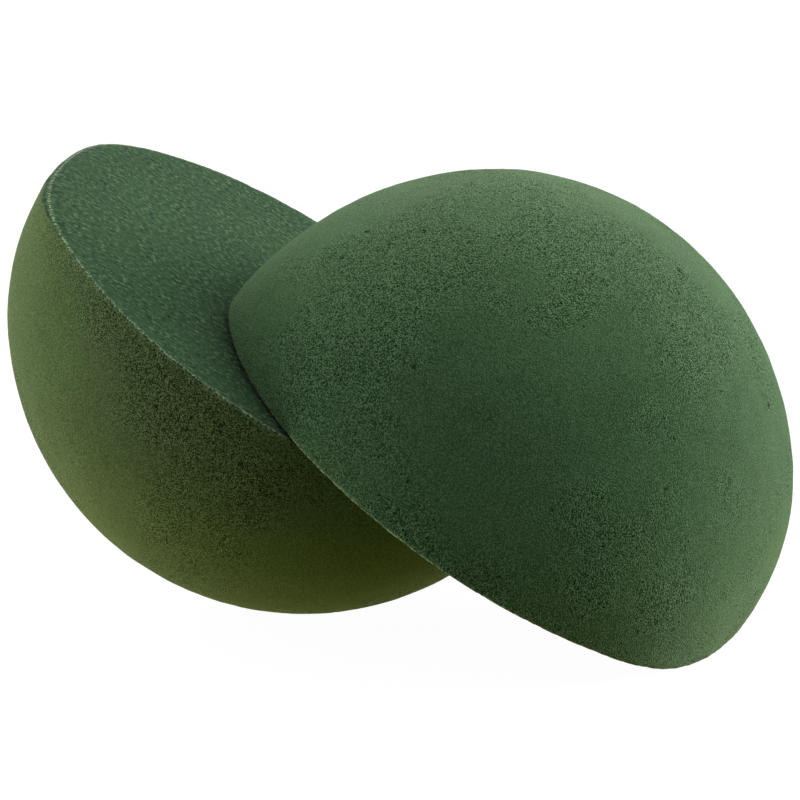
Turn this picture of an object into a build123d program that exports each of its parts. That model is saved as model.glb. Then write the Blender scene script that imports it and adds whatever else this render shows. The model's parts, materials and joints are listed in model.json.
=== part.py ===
from build123d import *
import math
import os

# A floral foam ball that comes in two loose halves. The lower half stands on its
# dome with its cut face tilted up. The upper half lies cut face down on it, slid
# downhill until its rim touches the table. Millimetres, +Z up, +X downhill.

# driving dimensions
ball_radius = 100.0
slide_distance = 82.0   # from one half's axis to the other's, along the cut faces
face_gap = 0.2          # between the two cut faces
rim_edge = 0.8          # broken edge around each cut face

# Foam crushes easily, so one end of each rim is worn round: the end that the upper
# half stands on, and the raised end of the lower half. The spread is how much larger
# than the ball's radius the worn shape's is: the larger, the wider the worn stretch.
stood_on_radius = 9.0
stood_on_spread = 100.0
raised_radius = 5.0
raised_spread = 30.0


def half_ball(radius, edge):
    """A half ball on Z = 0, dome up, its rim rounded to the edge radius."""
    quarter = Circle(radius) & Rectangle(radius, radius, align=(Align.MIN, Align.MIN))
    rim = quarter.vertices().sort_by(Axis.X)[-1]
    section = fillet(rim, edge)
    return revolve(Plane.XZ * section, Axis.Z)


def worn_half_ball(wear_radius, wear_spread):
    """A half ball whose rim is worn round at its +X end and fades to a plain rim."""
    worn_shape = Pos(-wear_spread, 0, 0) * half_ball(ball_radius + wear_spread, wear_radius)
    return half_ball(ball_radius, rim_edge) & worn_shape


def resting_tilt():
    """Tilt of the cut faces at which the dome and the worn rim both touch Z = 0."""
    worn_ball = ball_radius + stood_on_spread - stood_on_radius
    rounding_circle = math.sqrt(worn_ball**2 - stood_on_radius**2)
    along = slide_distance - stood_on_spread + rounding_circle
    across = stood_on_radius + face_gap
    height = ball_radius - stood_on_radius
    return math.asin(height / math.hypot(along, across)) + math.atan2(across, along)


tilt = resting_tilt()
balls_apart = slide_distance * math.cos(tilt) + face_gap * math.sin(tilt)

# the origin is on the table, halfway between the two balls' centres
cut_plane = Pos(-balls_apart / 2, 0, ball_radius) * Rot(0, math.degrees(tilt), 0)
dome_down = Rot(0, 180, 0)

lower_half = cut_plane * dome_down * worn_half_ball(raised_radius, raised_spread)
upper_half = (
    cut_plane
    * Pos(slide_distance, 0, face_gap)
    * worn_half_ball(stood_on_radius, stood_on_spread)
)

os.makedirs("parts", exist_ok=True)
pieces = {"lower_half": lower_half, "upper_half": upper_half}
for name, piece in pieces.items():
    export_step(piece, f"parts/{name}.step")
    print(f"{name}: volume {piece.volume:.0f}")

print(f"tilt {math.degrees(tilt):.4f} degrees, {balls_apart:.4f} between the balls' centres")
print(f"uphill along the cut faces: X {-math.cos(tilt):.6f}, Z {math.sin(tilt):.6f}")
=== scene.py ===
import json
import math

import bpy
import numpy as np
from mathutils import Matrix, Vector


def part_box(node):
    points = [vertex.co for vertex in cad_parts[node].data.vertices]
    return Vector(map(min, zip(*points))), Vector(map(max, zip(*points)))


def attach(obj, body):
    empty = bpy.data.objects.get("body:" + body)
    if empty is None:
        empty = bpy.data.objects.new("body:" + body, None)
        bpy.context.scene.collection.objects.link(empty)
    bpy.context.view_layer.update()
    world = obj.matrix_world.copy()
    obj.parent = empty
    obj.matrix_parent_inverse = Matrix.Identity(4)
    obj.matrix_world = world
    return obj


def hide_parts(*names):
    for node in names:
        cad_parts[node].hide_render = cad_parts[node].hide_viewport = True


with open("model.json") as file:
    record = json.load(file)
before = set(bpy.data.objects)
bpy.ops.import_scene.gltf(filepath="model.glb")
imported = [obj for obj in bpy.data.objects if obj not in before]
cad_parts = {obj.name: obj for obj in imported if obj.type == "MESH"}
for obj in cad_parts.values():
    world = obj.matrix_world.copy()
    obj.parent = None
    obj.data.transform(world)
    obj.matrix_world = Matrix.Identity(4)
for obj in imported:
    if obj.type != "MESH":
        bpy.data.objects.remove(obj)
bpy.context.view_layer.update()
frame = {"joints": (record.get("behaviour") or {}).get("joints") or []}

MM = 0.001
RIM_EDGE = 0.8 * MM
STROKE_TURN = -38  # degrees from the worn rim end in which the cut face's ridges run
NOISE_ORIGIN = 1000.0  # keeps every place in the noise grid positive
SMALLEST = 1e-9  # keeps divisions off zero

# ---------------------------------------------------------------- places, from the frame

slide = frame["joints"][0]
uphill = np.array(slide["axis"]) / np.linalg.norm(slide["axis"])
DOWNHILL = -uphill
ACROSS = np.array([0.0, 1.0, 0.0])
FACE_NORMAL = np.cross(DOWNHILL, ACROSS)

lower_low, lower_high = (np.array(corner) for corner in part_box("lower_half"))
upper_low, upper_high = (np.array(corner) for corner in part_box("upper_half"))
RADIUS = round(float(lower_high[1] - lower_low[1]) / 2, 3)
LOWER_CENTRE = np.array([lower_low[0] + RADIUS, 0.0, RADIUS])
UPPER_CENTRE = np.array([upper_high[0] - RADIUS, 0.0, upper_high[2] - RADIUS])

# ---------------------------------------------------------------- noise for shaping the foam


def random_at(i, j, k, seed):
    """A repeatable random number from 0 to 1 for each whole-number place."""
    h = (
        i.astype(np.uint32) * np.uint32(374761393)
        + j.astype(np.uint32) * np.uint32(668265263)
        + k.astype(np.uint32) * np.uint32(2147483647)
        + np.uint32(seed) * np.uint32(974711)
    )
    h = (h ^ (h >> np.uint32(13))) * np.uint32(1274126177)
    h = (h ^ (h >> np.uint32(16))) * np.uint32(2246822519)
    return (h ^ (h >> np.uint32(15))).astype(np.float64) / 4294967295.0


def noise(points, size, seed):
    """Smooth noise from -1 to 1 whose bumps are about size across."""
    q = points / size + NOISE_ORIGIN
    cell = np.floor(q).astype(np.int64)
    f = q - cell
    f = f * f * f * (f * (f * 6 - 15) + 10)
    total = np.zeros(len(points))
    for dx in (0, 1):
        wx = f[:, 0] if dx else 1 - f[:, 0]
        for dy in (0, 1):
            wy = f[:, 1] if dy else 1 - f[:, 1]
            for dz in (0, 1):
                wz = f[:, 2] if dz else 1 - f[:, 2]
                corner = random_at(cell[:, 0] + dx, cell[:, 1] + dy, cell[:, 2] + dz, seed)
                total += wx * wy * wz * corner
    return total * 2 - 1


def layered_noise(points, size, seed, layers=3):
    """Noise with finer and weaker layers added, from -1 to 1."""
    total = np.zeros(len(points))
    for layer in range(layers):
        total += noise(points, size / 2**layer, seed + layer) / 2**layer
    return total / (2 - 0.5 ** (layers - 1))


SMALLEST_PIT, LARGEST_PIT = 0.22, 0.42  # radius as a share of the cell


def pits(points, size, seed, share):
    """Depth from 0 to 1 of round pits, one to a cell of that size. share is how many cells have one."""
    q = points / size + NOISE_ORIGIN
    cell = np.floor(q).astype(np.int64)
    depth = np.zeros(len(points))
    for dx in (-1, 0, 1):
        for dy in (-1, 0, 1):
            for dz in (-1, 0, 1):
                i, j, k = cell[:, 0] + dx, cell[:, 1] + dy, cell[:, 2] + dz
                place = np.stack([random_at(i, j, k, seed + n) for n in (1, 2, 3)], axis=1)
                centre = np.stack([i, j, k], axis=1) + place
                radius = SMALLEST_PIT + (LARGEST_PIT - SMALLEST_PIT) * random_at(i, j, k, seed + 4)
                there = random_at(i, j, k, seed + 5) < share
                away = np.linalg.norm(q - centre, axis=1) / radius
                bowl = np.clip(1 - away * away, 0, 1)
                depth = np.maximum(depth, np.where(there, bowl * radius / LARGEST_PIT, 0))
    return depth


def smoothstep(low, high, x):
    """0 below low and 1 above high, with a soft turn at both."""
    t = np.clip((x - low) / (high - low), 0, 1)
    return t * t * (3 - 2 * t)


# ---------------------------------------------------------------- the half ball mesh

GRID = 448


def disc_grid(n):
    """Radius and angle of an even grid on a disc of radius 1, (n + 1) squared points."""
    side = np.linspace(-1, 1, n + 1)
    a, b = np.meshgrid(side, side, indexing="ij")
    a, b = a.ravel(), b.ravel()
    wide = np.abs(a) > np.abs(b)
    safe_a = np.where(a == 0, 1, a)
    safe_b = np.where(b == 0, 1, b)
    r = np.where(wide, a, b)
    angle = np.where(wide, math.pi / 4 * b / safe_a, math.pi / 2 - math.pi / 4 * a / safe_b)
    return r * np.cos(angle), r * np.sin(angle)


def half_ball_topology(n):
    """Quads of a dome and a flat face that share their rim, and which are the face's."""
    index = np.arange((n + 1) ** 2).reshape(n + 1, n + 1)
    face_index = index.copy()
    inner = (n - 1) ** 2
    face_index[1:-1, 1:-1] = (n + 1) ** 2 + np.arange(inner).reshape(n - 1, n - 1)

    def quads(grid):
        corners = [grid[:-1, :-1], grid[1:, :-1], grid[1:, 1:], grid[:-1, 1:]]
        return np.stack(corners, axis=-1).reshape(-1, 4)

    return np.concatenate([quads(index), quads(face_index)[:, ::-1]]), n * n


def sharp_half_ball(n):
    """Points of a half ball on z = 0 with its dome up, in metres. The face's inner points come last."""
    x, y = disc_grid(n)
    r = np.hypot(x, y)
    lift = np.sqrt(np.clip(2 - r * r, 0, 2))
    dome = np.stack([x * lift, y * lift, 1 - r * r], axis=1)
    inner = np.zeros((n + 1, n + 1), bool)
    inner[1:-1, 1:-1] = True
    inner = inner.ravel()
    face = np.stack([x[inner], y[inner], np.zeros(inner.sum())], axis=1)
    is_face = np.concatenate([np.zeros(len(dome), bool), np.ones(len(face), bool)])
    return np.concatenate([dome, face]) * RADIUS, is_face


def round_rim(points, edge, centre=(0, 0), spread=0.0):
    """The points with their rim rounded to the edge radius.

    The rounding is that of a ball larger than this one by spread, about the centre given,
    so with a spread only the side of the rim away from that centre is worn.
    """
    away = points[:, :2] - np.array(centre)
    r = np.linalg.norm(away, axis=1)
    outward = away / np.maximum(r, SMALLEST)[:, None]
    ring = math.sqrt((RADIUS + spread - edge) ** 2 - edge**2)
    dr, dz = r - ring, points[:, 2] - edge
    length = np.hypot(dr, dz)
    worn = (dr > 0) & (dz * ring < dr * edge) & (length > edge)
    scale = edge / np.maximum(length, SMALLEST)
    new_r = np.where(worn, ring + dr * scale, r)
    new_z = np.where(worn, edge + dz * scale, points[:, 2])
    return np.concatenate([outward * new_r[:, None] + np.array(centre), new_z[:, None]], axis=1)


def towards(degrees, height):
    """The place on the dome at that angle around the axis and that height above the cut face."""
    turn = math.radians(degrees)
    flat = math.sqrt(RADIUS**2 - height**2)
    return np.array([flat * math.cos(turn), flat * math.sin(turn), height])


def near(points, degrees, height, reach):
    """1 at that place on the dome, falling to 0 over the reach."""
    return np.exp(-((np.linalg.norm(points - towards(degrees, height), axis=1) / reach) ** 2))


def grid_normals(points, quads):
    """The normals of a mesh's points, from its quads."""
    corners = points[quads]
    across = np.cross(corners[:, 2] - corners[:, 0], corners[:, 3] - corners[:, 1])
    normals = np.zeros_like(points)
    for corner in range(4):
        for axis in range(3):
            normals[:, axis] += np.bincount(quads[:, corner], across[:, axis], len(points))
    return normals / np.maximum(np.linalg.norm(normals, axis=1), 1e-20)[:, None]


PIT_CELL = 2.6 * MM
DOME_PIT_DEPTH, FACE_PIT_DEPTH = 0.55 * MM, 0.3 * MM
LUMP_HEIGHT, LUMP_SIZE = 0.5 * MM, 38 * MM
RIPPLE_HEIGHT, RIPPLE_SIZE = 0.14 * MM, 7 * MM
GRAIN_HEIGHT, GRAIN_SIZE = 0.05 * MM, 1.3 * MM
CHIP_DEPTH, CHIP_SIZE = 0.35 * MM, 2.6 * MM
RIDGE_HEIGHT, RIDGE_SIZE, RIDGE_LENGTH = 0.07 * MM, 1.8 * MM, 1.3
FACE_SET_BACK = 0.24 * MM  # keeps the two cut faces apart
RIM_SET_BACK = 0.1 * MM
RIM_BAND, RIM_LINE = 9 * MM, 0.9 * MM  # how far the rim's band and its line reach
PRESSED_HEIGHT = 16 * MM  # how high the foam is squeezed where it stands
LOW_HEIGHT = 75 * MM  # below this the dome takes on its lower colour


def foam_half(name, wear, swells, drifts, seed, axes, centre):
    """One half ball of foam as a mesh object: worn rim, pitted dome and cut face."""
    sharp, is_face = sharp_half_ball(GRID)
    quads, dome_quads = half_ball_topology(GRID)
    rim_gap = np.hypot(RADIUS - np.hypot(sharp[:, 0], sharp[:, 1]), sharp[:, 2])
    shape = round_rim(sharp, RIM_EDGE)
    for degrees, edge, spread in wear:
        turn = math.radians(degrees)
        shape = round_rim(shape, edge, (-spread * math.cos(turn), -spread * math.sin(turn)), spread)
    normals = grid_normals(shape, quads)
    outward = shape / np.maximum(np.linalg.norm(shape, axis=1), SMALLEST)[:, None]
    fade = smoothstep(0.85, 1.0, np.linalg.norm(shape, axis=1) / RADIUS)
    push = np.zeros(len(shape))
    for degrees, height, reach, amount in swells:
        push += amount * near(shape, degrees, height, reach)
    shape = shape + outward * (push * fade)[:, None]

    pitted = 0.8 * layered_noise(shape, 20 * MM, seed + 10) + 0.05
    for degrees, height, reach, amount in drifts:
        pitted += amount * near(shape, degrees, height, reach)
    pitted = smoothstep(-0.25, 0.55, pitted)
    near_rim = np.exp(-((rim_gap / RIM_BAND) ** 2))
    at_rim = np.exp(-((rim_gap / RIM_LINE) ** 2))
    dome_share = 0.008 + 0.05 * pitted * pitted
    deep = pits(shape, PIT_CELL, seed + 20, np.where(is_face, 0.04, dome_share))

    # the wire that cut the face left short slanting ridges, longer than they are wide
    turn = math.radians(STROKE_TURN)
    along = shape[:, 0] * math.cos(turn) + shape[:, 1] * math.sin(turn)
    athwart = -shape[:, 0] * math.sin(turn) + shape[:, 1] * math.cos(turn)
    wander = 1.2 * MM * noise(shape, 6 * MM, seed + 30)
    stretched = np.stack([along / RIDGE_LENGTH, athwart + wander, shape[:, 2]], axis=1)
    ridges = noise(stretched, RIDGE_SIZE, seed + 31)

    # no lumps where it stands on the floor
    above_floor = (centre + shape @ axes)[:, 2]
    lumps = LUMP_HEIGHT * layered_noise(shape, LUMP_SIZE, seed + 40) * smoothstep(0, 35 * MM, above_floor)
    ripple = RIPPLE_HEIGHT * layered_noise(shape, RIPPLE_SIZE, seed + 50)
    grain = GRAIN_HEIGHT * noise(shape, GRAIN_SIZE, seed + 60)
    chips = -CHIP_DEPTH * np.clip(layered_noise(shape, CHIP_SIZE, seed + 70) + 0.1, 0, 1)
    dome_move = lumps + ripple + grain * (0.5 + pitted) - DOME_PIT_DEPTH * deep
    face_move = RIDGE_HEIGHT * ridges + 0.5 * ripple - FACE_PIT_DEPTH * deep - FACE_SET_BACK
    move = np.where(is_face, face_move, dome_move) * (1 - at_rim) + (chips - RIM_SET_BACK) * at_rim
    moved = shape + normals * move[:, None]

    # it stands on the floor, pressed a little flat there
    world = centre + moved @ axes
    gap = world[:, 2].min()
    world[:, 2] -= gap * np.exp(-(((world[:, 2] - gap) / PRESSED_HEIGHT) ** 2))
    world[:, 2] = np.maximum(world[:, 2], 0)
    low = np.clip(1 - world[:, 2] / LOW_HEIGHT, 0, 1)

    mesh = bpy.data.meshes.new(name)
    mesh.vertices.add(len(world))
    mesh.vertices.foreach_set("co", world.astype(np.float32).ravel())
    mesh.loops.add(quads.size)
    mesh.loops.foreach_set("vertex_index", quads.astype(np.int32).ravel())
    mesh.polygons.add(len(quads))
    mesh.polygons.foreach_set("loop_start", np.arange(0, quads.size, 4, dtype=np.int32))
    mesh.polygons.foreach_set("loop_total", np.full(len(quads), 4, dtype=np.int32))
    # where the rim is worn round, the side that leans towards the cut face shows bare foam like it
    bare = (np.arange(len(quads)) >= dome_quads) | (normals[quads].mean(axis=1)[:, 2] < -0.3)
    mesh.polygons.foreach_set("material_index", bare.astype(np.int32))
    mesh.polygons.foreach_set("use_smooth", np.ones(len(quads), bool))
    mesh.update(calc_edges=True)
    mesh.validate()
    # pit is the pits' depth; the materials use it to paint the pits dark, as painted shade
    shading = {"pit_painted_shade": deep, "rim": at_rim, "near_rim": near_rim, "patch": pitted, "low": low}
    for attribute, values in shading.items():
        layer = mesh.attributes.new(attribute, "FLOAT", "POINT")
        layer.data.foreach_set("value", values.astype(np.float32))
    rest = mesh.attributes.new("place", "FLOAT_VECTOR", "POINT")
    rest.data.foreach_set("vector", shape.astype(np.float32).ravel())
    half = bpy.data.objects.new(name, mesh)
    bpy.context.scene.collection.objects.link(half)
    return half


# ---------------------------------------------------------------- materials


class Nodes:
    """Short calls for building one material's nodes."""

    def __init__(self, name):
        self.material = bpy.data.materials.new(name)
        self.material.use_nodes = True
        self.tree = self.material.node_tree
        self.shader = self.tree.nodes["Principled BSDF"]

    def put(self, socket, value):
        if isinstance(value, bpy.types.NodeSocket):
            self.tree.links.new(value, socket)
        elif value is not None:
            socket.default_value = value

    def attribute(self, name, output="Fac"):
        node = self.tree.nodes.new("ShaderNodeAttribute")
        node.attribute_name = name
        return node.outputs[output]

    def math(self, operation, a, b=None, clamp=False):
        node = self.tree.nodes.new("ShaderNodeMath")
        node.operation = operation
        node.use_clamp = clamp
        self.put(node.inputs[0], a)
        self.put(node.inputs[1], b)
        return node.outputs[0]

    def noise(self, place, size, detail=2.0, rough=0.5):
        node = self.tree.nodes.new("ShaderNodeTexNoise")
        self.put(node.inputs["Vector"], place)
        node.inputs["Scale"].default_value = 1 / size
        node.inputs["Detail"].default_value = detail
        node.inputs["Roughness"].default_value = rough
        return node.outputs["Fac"]

    def cells(self, place, size):
        node = self.tree.nodes.new("ShaderNodeTexVoronoi")
        self.put(node.inputs["Vector"], place)
        node.inputs["Scale"].default_value = 1 / size
        return node

    def remap(self, value, low, high, to_low=0.0, to_high=1.0):
        node = self.tree.nodes.new("ShaderNodeMapRange")
        self.put(node.inputs["Value"], value)
        node.inputs["From Min"].default_value = low
        node.inputs["From Max"].default_value = high
        node.inputs["To Min"].default_value = to_low
        node.inputs["To Max"].default_value = to_high
        return node.outputs[0]

    def mix(self, amount, a, b, kind="MIX"):
        node = self.tree.nodes.new("ShaderNodeMix")
        node.data_type = "RGBA"
        node.blend_type = kind
        self.put(node.inputs["Factor"], amount)
        self.put(node.inputs["A"], a)
        self.put(node.inputs["B"], b)
        return node.outputs["Result"]

    def stretch(self, place, turn, scale):
        node = self.tree.nodes.new("ShaderNodeMapping")
        node.vector_type = "TEXTURE"
        self.put(node.inputs["Vector"], place)
        node.inputs["Rotation"].default_value = (0, 0, math.radians(turn))
        node.inputs["Scale"].default_value = scale
        return node.outputs[0]

    def bump(self, height, strength, distance):
        node = self.tree.nodes.new("ShaderNodeBump")
        node.inputs["Strength"].default_value = strength
        node.inputs["Distance"].default_value = distance
        self.put(node.inputs["Height"], height)
        return node.outputs[0]


def colour(r, g, b):
    return (r, g, b, 1.0)


def foam_shader(build, sheen, sheen_tint):
    """Dry, dusty foam: almost no gloss, and a pale bloom where the surface turns away."""
    shader = build.shader
    shader.inputs["Roughness"].default_value = 1.0
    shader.inputs["Specular IOR Level"].default_value = 0.08
    shader.inputs["Sheen Weight"].default_value = sheen
    shader.inputs["Sheen Roughness"].default_value = 0.6
    shader.inputs["Sheen Tint"].default_value = sheen_tint


def open_cells(build, place, size, low, high, density):
    """Small round holes from 0 to 1, at most one to a cell. density is the share of cells with one."""
    cells = build.cells(place, size)
    hole = build.remap(cells.outputs["Distance"], low, high, 1.0, 0.0)
    draw = build.tree.nodes.new("ShaderNodeSeparateColor")
    build.put(draw.inputs[0], cells.outputs["Color"])
    opened = build.math("MULTIPLY", build.math("SUBTRACT", density, draw.outputs[0]), 8.0, clamp=True)
    return build.math("MULTIPLY", hole, opened)


def frayed_rim_and_highlight(build):
    """How pale the rim's broken line is, from 0 to 1: partly frayed foam, partly a painted highlight."""
    chipped = build.noise(build.attribute("place", "Vector"), 0.8 * MM, 1.0)
    broken = build.remap(chipped, 0.45, 0.6, 0.05, 0.8)
    return build.math("MULTIPLY", build.attribute("rim"), broken)


def dome_foam(name, palette, openness, sheen, sheen_tint):
    """The moulded skin: dense tiny pits in drifts, painted dark as shade, and smooth rubbed places between
    them.
    """
    build = Nodes(name)
    place = build.attribute("place", "Vector")
    patch = build.attribute("patch")
    density = build.math("MAXIMUM", patch, build.math("MULTIPLY", build.attribute("near_rim"), 0.55))

    # soft clouds of lighter and darker foam, and a darker, greener band under the rim
    tone = build.remap(build.noise(place, 48 * MM, 4.0, 0.6), 0.34, 0.66)
    base = build.mix(tone, palette["dark"], palette["light"])
    cloud = build.remap(build.noise(place, 14 * MM, 3.0, 0.6), 0.35, 0.7, 0.0, 0.35)
    base = build.mix(cloud, base, palette["cloud"])
    base = build.mix(build.math("MULTIPLY", build.attribute("near_rim"), 0.6), base, palette["band"])
    base = build.mix(build.math("MULTIPLY", build.attribute("low"), 0.75), base, palette["low"])

    # fine grain from one noise, which also drives the bump: partly the foam's own grain, with painted shade
    # in its hollows and a painted highlight on its crumbs
    speckle = build.noise(place, 0.42 * MM, 0.0)
    depth = build.remap(density, 0.0, 1.0, 0.42, 1.0)
    shade = build.math("MULTIPLY", build.remap(speckle, 0.46, 0.40, 0.0, 1.0), depth)
    base = build.mix(shade, base, palette["hollow_painted_shade"])
    lift = build.math("MULTIPLY", build.remap(speckle, 0.55, 0.61, 0.0, 1.0), depth)
    base = build.mix(lift, base, palette["crumb_and_painted_highlight"])

    # open cells and the dome's pits painted near-black: painted shade in the holes
    small = open_cells(build, place, 0.85 * MM, 0.28, 0.36, build.remap(density, 0.0, 1.0, 0.02, 0.24))
    large = open_cells(build, place, 1.5 * MM, 0.25, 0.31, build.remap(density, 0.0, 1.0, 0.02, openness))
    hole = build.math("MAXIMUM", small, large)
    hollow_painted_shade = build.math("MAXIMUM", hole, build.attribute("pit_painted_shade"))
    base = build.mix(build.math("MULTIPLY", hollow_painted_shade, 0.95), base, palette["pit_painted_shade"])

    # pale flecks, and the rim's pale broken line, which is partly frayed foam and partly a painted
    # highlight
    fleck = open_cells(build, place, 1.1 * MM, 0.14, 0.24, build.remap(density, 0.2, 1.0, 0.01, 0.14))
    pale = build.math("MAXIMUM", build.math("MULTIPLY", fleck, 0.7), frayed_rim_and_highlight(build))
    build.put(build.shader.inputs["Base Color"], build.mix(pale, base, palette["pale_and_painted_highlight"]))

    rough = build.math("MULTIPLY", speckle, depth)
    relief = build.math("SUBTRACT", rough, build.math("MULTIPLY", hole, 0.8))
    build.put(build.shader.inputs["Normal"], build.bump(relief, 1.0, 0.45 * MM))
    foam_shader(build, sheen, sheen_tint)
    return build.material


def cut_foam(name, palette, sheen, sheen_tint):
    """The sawn face: short slanting ridges, with painted shade in the hollows between them and painted
    highlights on their crests.
    """
    build = Nodes(name)
    place = build.attribute("place", "Vector")
    tone = build.remap(build.noise(place, 45 * MM, 3.0, 0.6), 0.34, 0.66)
    base = build.mix(tone, palette["dark"], palette["light"])

    slanted = build.stretch(place, STROKE_TURN, (1.25, 1.0, 1.0))
    ridges = build.noise(slanted, 1.65 * MM, 2.0, 0.72)
    drift = build.remap(build.noise(place, 12 * MM, 2.0), 0.35, 0.65, 0.55, 1.0)
    # the ridges' low places painted dark as shade and their crests painted light as highlight, on the same
    # noise as the bump
    shade = build.math("MULTIPLY", build.remap(ridges, 0.46, 0.40, 0.0, 1.0), drift)
    base = build.mix(shade, base, palette["hollow_painted_shade"])
    crest_painted_highlight = build.math("MULTIPLY", build.remap(ridges, 0.55, 0.61, 0.0, 0.9), drift)
    base = build.mix(crest_painted_highlight, base, palette["crumb_and_painted_highlight"])

    # open cells and pits painted dark: painted shade in the holes
    hole = open_cells(build, place, 1.5 * MM, 0.20, 0.27, build.remap(drift, 0.55, 1.0, 0.05, 0.3))
    hollow_painted_shade = build.math("MAXIMUM", hole, build.attribute("pit_painted_shade"))
    base = build.mix(build.math("MULTIPLY", hollow_painted_shade, 0.8), base, palette["pit_painted_shade"])

    # pale flecks, and the rim's pale broken line, partly frayed foam and partly a painted highlight
    fleck = open_cells(build, place, 2.6 * MM, 0.06, 0.16, 0.12)
    pale = build.math("MAXIMUM", build.math("MULTIPLY", fleck, 0.7), frayed_rim_and_highlight(build))
    build.put(build.shader.inputs["Base Color"], build.mix(pale, base, palette["pale_and_painted_highlight"]))

    rough = build.math("MULTIPLY", ridges, drift)
    relief = build.math("SUBTRACT", rough, build.math("MULTIPLY", hole, 0.4))
    build.put(build.shader.inputs["Normal"], build.bump(relief, 1.0, 0.15 * MM))
    foam_shader(build, sheen, sheen_tint)
    return build.material


# ---------------------------------------------------------------- the two halves


# rows are where each half's own x, y and z point: its worn rim end, across, and its dome
lower_axes = np.array([-DOWNHILL, ACROSS, -FACE_NORMAL])
upper_axes = np.array([DOWNHILL, ACROSS, FACE_NORMAL])

# worn stretches of rim: angle, edge radius and how widely it spreads
lower_wear = [(-19, 6 * MM, 20 * MM)]
upper_wear = [(0, 7.3 * MM, 99 * MM), (27, 16 * MM, 72 * MM), (205, 3 * MM, 30 * MM)]

# swellings and dents of the dome: angle, height above the cut face, reach, amount
lower_swells = [
    (-20, 6 * MM, 20 * MM, -0.7 * MM),
    (10, 3 * MM, 22 * MM, 2.6 * MM),
    (42, 2 * MM, 35 * MM, 0.8 * MM),
    (-28, 35 * MM, 35 * MM, 0.5 * MM),
]
upper_swells = [
    (207, 4 * MM, 27 * MM, 3.0 * MM),
    (196, 12 * MM, 36 * MM, 0.9 * MM),
    (5, 12 * MM, 30 * MM, -2.6 * MM),
    (-34, 3 * MM, 22 * MM, 1.6 * MM),
    (12, 42 * MM, 30 * MM, 0.3 * MM),
    (28, 14 * MM, 42 * MM, 3.1 * MM),
    (150, 85 * MM, 40 * MM, 0.4 * MM),
]

# drifts of denser pits, and smooth rubbed places below zero: angle, height, reach, amount
lower_drifts = [
    (-72, 4 * MM, 16 * MM, 0.5),
    (-89, 9 * MM, 18 * MM, 0.7),
    (-108, 15 * MM, 20 * MM, 0.3),
    (-102, 43 * MM, 18 * MM, 0.15),
    (-58, 29 * MM, 26 * MM, -0.7),
    (-80, 56 * MM, 26 * MM, -0.5),
    (-145, 34 * MM, 30 * MM, -0.6),
]
upper_drifts = [
    (-120, 36 * MM, 24 * MM, 0.8),
    (-129, 64 * MM, 24 * MM, 0.7),
    (-112, 90 * MM, 22 * MM, 0.5),
    (-34, 37 * MM, 24 * MM, 0.2),
    (-47, 9 * MM, 24 * MM, 0.15),
    (-86, 41 * MM, 22 * MM, -0.9),
    (-70, 62 * MM, 24 * MM, -0.7),
    (-142, 13 * MM, 14 * MM, -0.6),
    (-17, 68 * MM, 24 * MM, -0.6),
]

lower = foam_half(
    "lower_foam_half", lower_wear, lower_swells, lower_drifts, 100, lower_axes, LOWER_CENTRE
)
upper = foam_half(
    "upper_foam_half", upper_wear, upper_swells, upper_drifts, 500, upper_axes, UPPER_CENTRE
)

# In each palette the darkest colours are painted shade in the grain's hollows and in the pits. The lighter
# grain colour is paler foam with a painted highlight on the crests. The palest is pale flecks and the rim's
# line, partly a painted highlight.
DOME_GREEN = {
    "light": colour(0.061, 0.138, 0.057),
    "dark": colour(0.040, 0.096, 0.037),
    "cloud": colour(0.069, 0.142, 0.064),
    "low": colour(0.069, 0.134, 0.035),
    "band": colour(0.050, 0.117, 0.046),
    "crumb_and_painted_highlight": colour(0.140, 0.267, 0.129),
    "hollow_painted_shade": colour(0.003, 0.040, 0.006),
    "pit_painted_shade": colour(0.000, 0.006, 0.000),
    "pale_and_painted_highlight": colour(0.24, 0.32, 0.13),
}
DOME_OLIVE = {
    "light": colour(0.101, 0.163, 0.059),
    "dark": colour(0.075, 0.123, 0.042),
    "cloud": colour(0.087, 0.147, 0.063),
    "low": colour(0.114, 0.163, 0.021),
    "band": colour(0.067, 0.122, 0.048),
    "crumb_and_painted_highlight": colour(0.202, 0.294, 0.119),
    "hollow_painted_shade": colour(0.014, 0.042, 0.007),
    "pit_painted_shade": colour(0.005, 0.017, 0.002),
    "pale_and_painted_highlight": colour(0.42, 0.55, 0.30),
}
CUT_GREEN = {
    "light": colour(0.024, 0.072, 0.023),
    "dark": colour(0.018, 0.056, 0.018),
    "crumb_and_painted_highlight": colour(0.081, 0.174, 0.076),
    "hollow_painted_shade": colour(0.003, 0.024, 0.006),
    "pit_painted_shade": colour(0.002, 0.008, 0.003),
    "pale_and_painted_highlight": colour(0.42, 0.55, 0.30),
}
lower.data.materials.append(dome_foam("foam_dome_olive", DOME_OLIVE, 0.14, 0.06, colour(1.0, 0.9, 0.3)))
lower.data.materials.append(cut_foam("foam_cut_face_lower", CUT_GREEN, 0.07, colour(0.9, 1.0, 0.9)))
upper.data.materials.append(dome_foam("foam_dome_green", DOME_GREEN, 0.42, 0.18, colour(0.82, 1.0, 0.62)))
upper.data.materials.append(cut_foam("foam_cut_face_upper", CUT_GREEN, 0.07, colour(0.9, 1.0, 0.9)))

for half, body in ((lower, "lower_half"), (upper, "upper_half")):
    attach(half, body)
    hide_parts(body)

# ---------------------------------------------------------------- floor and light


FLOOR_RADIUS, BACKDROP_RADIUS = 7.5, 8


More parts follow.
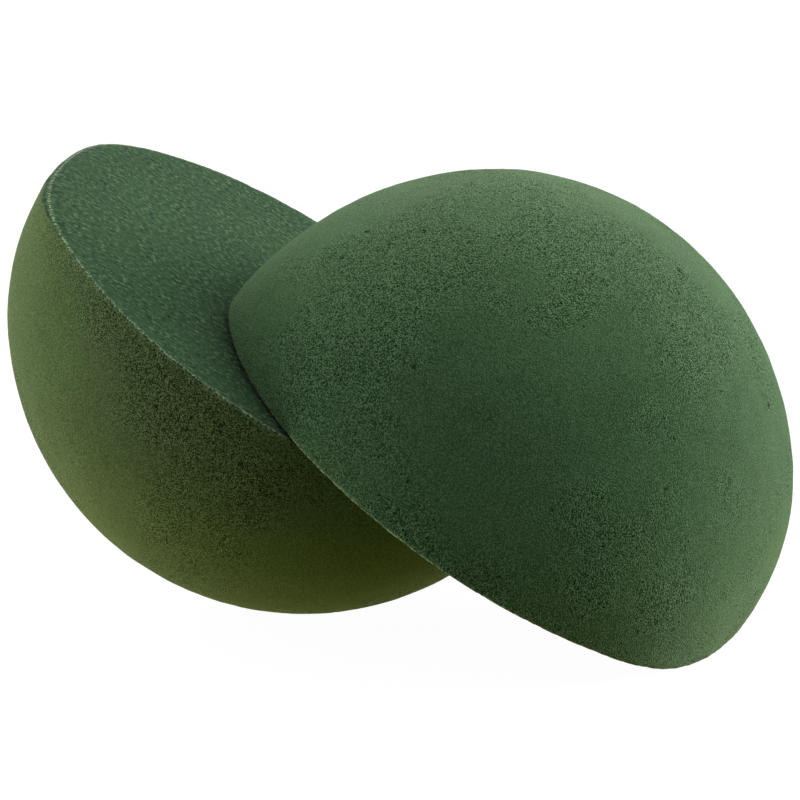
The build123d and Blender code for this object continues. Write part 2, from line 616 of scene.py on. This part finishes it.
def stage_material(name, glow, bounce):
    """A pale surface that glows a little, so that it stays evenly light."""
    material = bpy.data.materials.new(name)
    material.use_nodes = True
    shader = material.node_tree.nodes["Principled BSDF"]
    shader.inputs["Base Color"].default_value = colour(bounce, bounce, bounce)
    shader.inputs["Roughness"].default_value = 1.0
    shader.inputs["Specular IOR Level"].default_value = 0.0
    shader.inputs["Emission Color"].default_value = colour(1, 1, 1)
    shader.inputs["Emission Strength"].default_value = glow
    return material


def seen_only(obj):
    """The stage is seen, but neither lights nor shades the foam."""
    obj.visible_diffuse = False
    obj.visible_glossy = False
    obj.visible_shadow = False


bpy.ops.mesh.primitive_circle_add(vertices=96, radius=FLOOR_RADIUS, fill_type="NGON", location=(0, 0, 0))
floor = bpy.context.object
floor.name = "floor"
floor.data.materials.append(stage_material("floor_white", 0.97, 0.08))
seen_only(floor)

bpy.ops.mesh.primitive_uv_sphere_add(segments=48, ring_count=24, radius=BACKDROP_RADIUS, location=(0, 0, 0))
backdrop = bpy.context.object
backdrop.name = "backdrop"
backdrop.data.materials.append(stage_material("backdrop_white", 1.0, 0.0))
seen_only(backdrop)

world = bpy.data.worlds.new("studio")
bpy.context.scene.world = world
world.use_nodes = True
world.node_tree.nodes["Background"].inputs["Color"].default_value = colour(1.0, 1.0, 0.96)
world.node_tree.nodes["Background"].inputs["Strength"].default_value = 0.01


CAMERA_AZIMUTH = 21.23  # the lights turn with it


def soft_light(name, azimuth, elevation, spread, strength, tint=(1, 1, 1)):
    """A broad light from that direction. Azimuth 0 comes from behind the object, 90 from its right."""
    light = bpy.data.lights.new(name, "SUN")
    light.energy = strength
    light.angle = math.radians(spread)
    light.color = tint
    lamp = bpy.data.objects.new(name, light)
    bpy.context.scene.collection.objects.link(lamp)
    a, e = math.radians(azimuth - CAMERA_AZIMUTH), math.radians(elevation)
    towards = Vector((math.sin(a) * math.cos(e), math.cos(a) * math.cos(e), math.sin(e)))
    lamp.rotation_euler = towards.to_track_quat("Z", "Y").to_euler()
    return lamp


# ---------------------------------------------------------------- camera

CAMERA_ELEVATION = 9.73
CAMERA_DISTANCE = 1.0
CAMERA_LENS = 132.86

a, e = math.radians(CAMERA_AZIMUTH), math.radians(CAMERA_ELEVATION)
forward = Vector((-math.sin(a) * math.cos(e), math.cos(a) * math.cos(e), -math.sin(e)))
right = Vector((math.cos(a), math.sin(a), 0))
down = forward.cross(right)
middle = Vector((LOWER_CENTRE + UPPER_CENTRE) / 2)
aim = middle + right * 1.12 * MM + down * 2.18 * MM
camera_data = bpy.data.cameras.new("camera")
camera_data.sensor_width = 36
camera_data.lens = CAMERA_LENS
camera = bpy.data.objects.new("camera", camera_data)
camera.location = aim - forward * CAMERA_DISTANCE
camera.rotation_euler = forward.to_track_quat("-Z", "Y").to_euler()
bpy.context.scene.collection.objects.link(camera)
bpy.context.scene.camera = camera

# large diffusers beside and behind the object: azimuth, elevation, spread, strength, tint
for name, azimuth, elevation, spread, strength, tint in (
    ("left_back", -45, -13, 70, 2.04, (1.0, 1.0, 1.0)),
    ("left", -90, 18, 70, 2.28, (1.0, 1.0, 1.0)),
    ("top_back", 0, 45, 60, 1.85, (1.0, 1.0, 1.0)),
    ("right_back", 45, -10, 40, 0.87, (1.0, 1.0, 1.0)),
    ("right_side", 60, 5, 36, 1.0, (1.0, 1.0, 1.0)),
    ("right_narrow", 90, 22, 36, 0.68, (1.0, 1.0, 1.0)),
    ("right", 90, 22, 74, 2.55, (1.0, 1.0, 1.0)),
    ("floor_glow", -40, -75, 70, 0.94, (1.0, 0.96, 0.35)),
):
    soft_light(name, azimuth, elevation, spread, strength, tint)

bpy.context.scene.view_settings.view_transform = "Standard"
